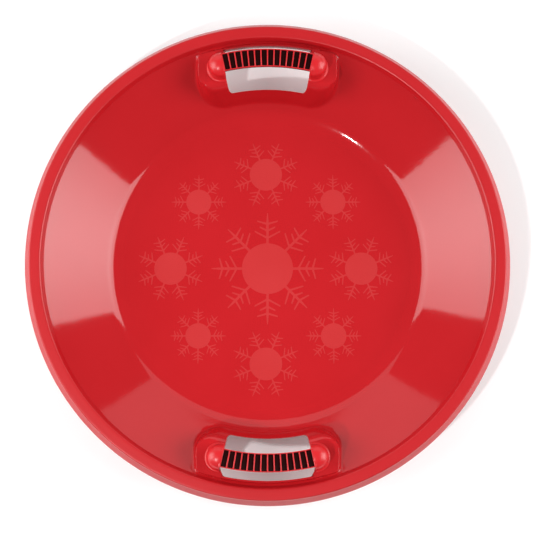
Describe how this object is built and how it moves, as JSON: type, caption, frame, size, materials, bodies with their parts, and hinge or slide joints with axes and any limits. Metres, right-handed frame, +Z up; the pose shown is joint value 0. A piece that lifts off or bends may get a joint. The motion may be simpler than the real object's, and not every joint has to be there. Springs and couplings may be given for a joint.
{
  "type": "saucer sled",
  "caption": "Round dished snow saucer in moulded plastic, with a turned-over rim, hollow handle mounts and ribbed grips over hand openings.",
  "frame": {"origin": "middle of the floor's flat underside, on the ground", "axes": "+Z up out of the dish, +Y towards the left handle, +X towards the side that the rider faces"},
  "size_m": [0.648, 0.648, 0.106],
  "materials": {
    "dish_plastic": "polished moulded polyethylene, deep red",
    "cover_plastic": "polished moulded plastic, deep red",
    "core_plastic": "fine satin black",
    "screw_steel": "bright zinc plating"
  },
  "bodies": {
    "root": {"sled_dish": "dish_plastic", "left_handle_cover": "cover_plastic", "right_handle_cover": "cover_plastic", "left_grip_core": "core_plastic", "right_grip_core": "core_plastic", "left_front_screw": "screw_steel", "left_rear_screw": "screw_steel", "right_front_screw": "screw_steel", "right_rear_screw": "screw_steel"}
  },
  "joints": []
}
